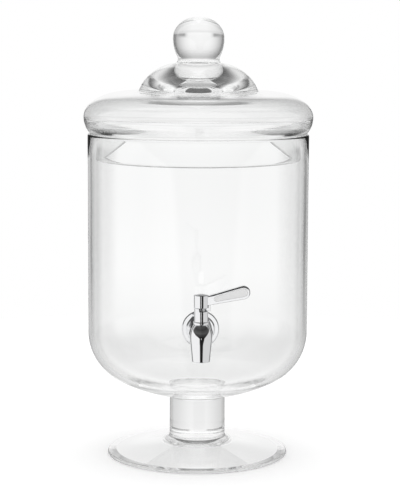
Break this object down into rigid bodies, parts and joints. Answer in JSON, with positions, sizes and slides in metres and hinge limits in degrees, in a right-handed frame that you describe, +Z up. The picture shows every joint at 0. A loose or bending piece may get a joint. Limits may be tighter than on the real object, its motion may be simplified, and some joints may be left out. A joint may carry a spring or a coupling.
{
  "type": "footed glass drink dispenser",
  "caption": "Clear glass drink jar on a stem and round foot, with a domed lift-off glass lid and a chrome quarter-turn lever tap at the front.",
  "frame": {"origin": "middle of the foot's underside, on the bowl's axis, on the surface that the dispenser stands on", "axes": "+Z up along the bowl's axis, -Y towards the tap, +X towards the lever as it points when shut"},
  "size_m": [0.2234, 0.2577, 0.4303],
  "materials": {
    "glass": "clear, fire-polished",
    "chrome": "polished plating",
    "satin_plate": "satin",
    "steel": "machined",
    "silicone": "translucent white silicone",
    "polymer": "slippery white plastic"
  },
  "bodies": {
    "dispenser": {"glass_bowl": "glass", "glass_stem": "glass", "glass_foot": "glass", "tap_body": "chrome", "tap_shank": "chrome", "escutcheon": "chrome", "front_gasket": "silicone", "rear_gasket": "silicone", "flat_washer": "steel", "lock_nut": "steel", "bonnet_sleeve": "chrome", "core_seal": "silicone"},
    "lid": {"lid_shell": "glass", "lid_knob": "glass"},
    "tap_handle": {"lever_handle": "chrome", "lever_plate": "satin_plate", "hub_cap": "chrome", "handle_screw": "steel", "valve_core": "steel", "thrust_washer": "polymer", "spindle_rings": "silicone"}
  },
  "joints": [
    {"name": "lid_lift", "type": "slide", "parent": "dispenser", "child": "lid", "axis": [0, 0, 1], "range_m": [0, 0.06]},
    {"name": "tap_turn", "type": "hinge", "parent": "dispenser", "child": "tap_handle", "pos_m": [0, -0.135, 0.168], "axis": [0, 0, -1], "range_deg": [0, 90]}
  ]
}
